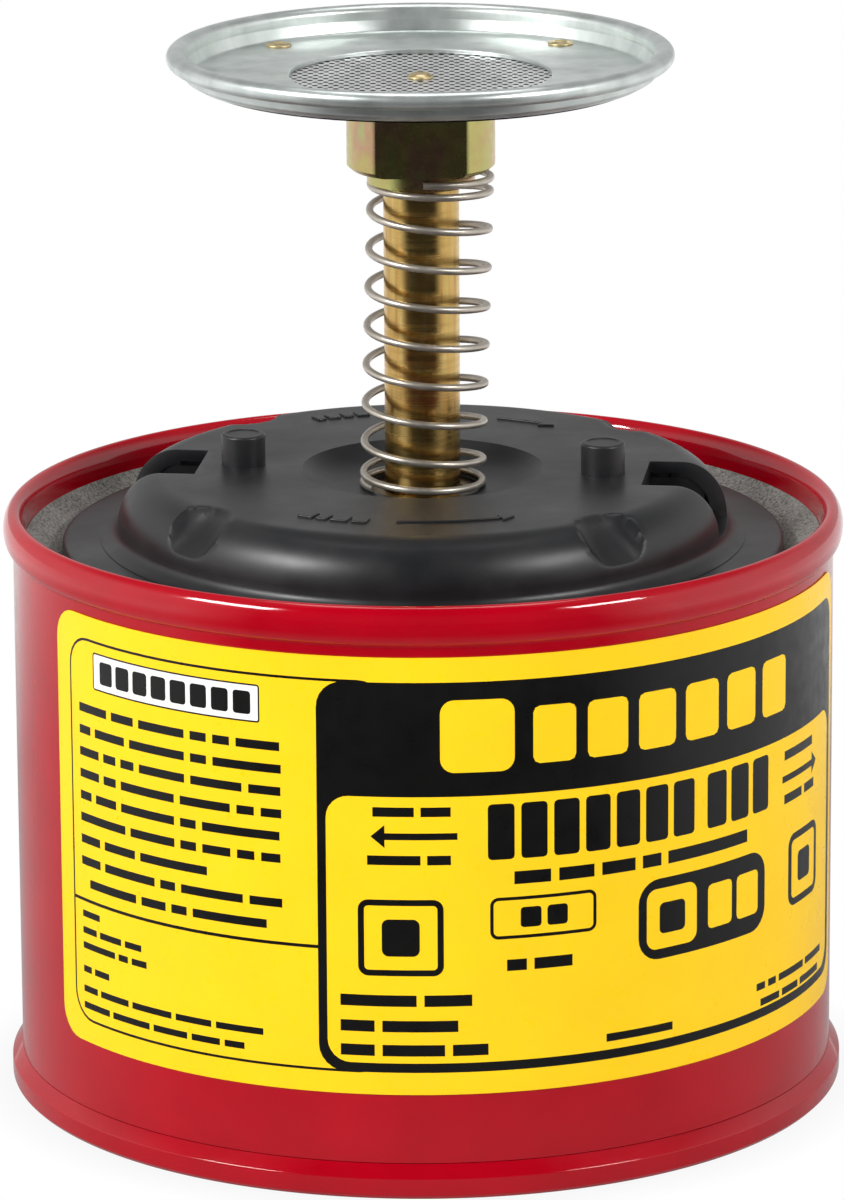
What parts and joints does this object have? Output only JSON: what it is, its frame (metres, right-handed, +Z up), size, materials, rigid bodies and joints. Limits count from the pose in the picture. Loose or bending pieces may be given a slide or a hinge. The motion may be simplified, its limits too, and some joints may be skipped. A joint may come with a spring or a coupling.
{
  "type": "safety plunger can",
  "caption": "Round steel can with a moulded lid and a spring-returned plunger pump that wets a cloth through a screened pan",
  "frame": {"origin": "centre of the can's foot, on the surface that it stands on", "axes": "+Z up along the plunger, -Y out of the front where the printed sheet is, +X to the right"},
  "size_m": [0.1244, 0.1244, 0.1554],
  "materials": {
    "red_paint": "glossy baked enamel",
    "galvanised": "bright zinc plate with fine drawing marks",
    "label": "printed vinyl sheet, yellow and black",
    "rubber": "matt nitrile rubber",
    "black_plastic": "satin moulded plastic with a fine grain",
    "brass": "turned brass, lightly tarnished",
    "stainless": "plain stainless steel",
    "spring_steel": "drawn spring wire, warm grey",
    "chromate": "zinc plate with yellow chromate",
    "screen_steel": "bright perforated steel"
  },
  "bodies": {
    "can": {"can_shell": "red_paint", "can_bottom": "red_paint", "can_head": "galvanised", "label_sheet": "label"},
    "seal": {"lid_gasket": "rubber"},
    "lid": {"lid_cover": "black_plastic", "rod_bushing": "brass", "pump_barrel": "brass", "foot_valve_body": "brass", "valve_stop_pin": "stainless", "inlet_strainer": "stainless", "return_spring": "spring_steel"},
    "inlet_ball": {"foot_valve_ball": "stainless"},
    "plunger": {"plunger_rod": "brass", "piston_nut": "brass", "piston_cup": "rubber", "piston_disc": "brass", "piston_pin": "stainless", "rod_collar": "chromate", "pan_screen": "screen_steel", "dasher_pan": "galvanised", "screen_screw": "brass", "pan_rivet_1": "brass", "pan_rivet_2": "brass", "pan_rivet_3": "brass", "pan_rivet_4": "brass"},
    "outlet_ball": {"rod_check_ball": "stainless"}
  },
  "joints": [
    {"name": "lid_turn", "type": "hinge", "parent": "can", "child": "seal", "pos_m": [0, 0, 0.0828], "axis": [0, 0, 1], "range_deg": [-40, 0]},
    {"name": "lid_lift", "type": "slide", "parent": "seal", "child": "lid", "axis": [0, 0, 1], "range_m": [0, 0.1]},
    {"name": "plunger_press", "type": "slide", "parent": "lid", "child": "plunger", "axis": [0, 0, -1], "range_m": [0, 0.03], "stiffness_N_per_m": 300, "springref_m": -0.02, "deforming": ["return_spring"]},
    {"name": "inlet_ball_lift", "type": "slide", "parent": "lid", "child": "inlet_ball", "axis": [0, 0, 1], "range_m": [0, 0.0015]},
    {"name": "outlet_ball_lift", "type": "slide", "parent": "plunger", "child": "outlet_ball", "axis": [0, 0, 1], "range_m": [0, 0.0025]}
  ]
}
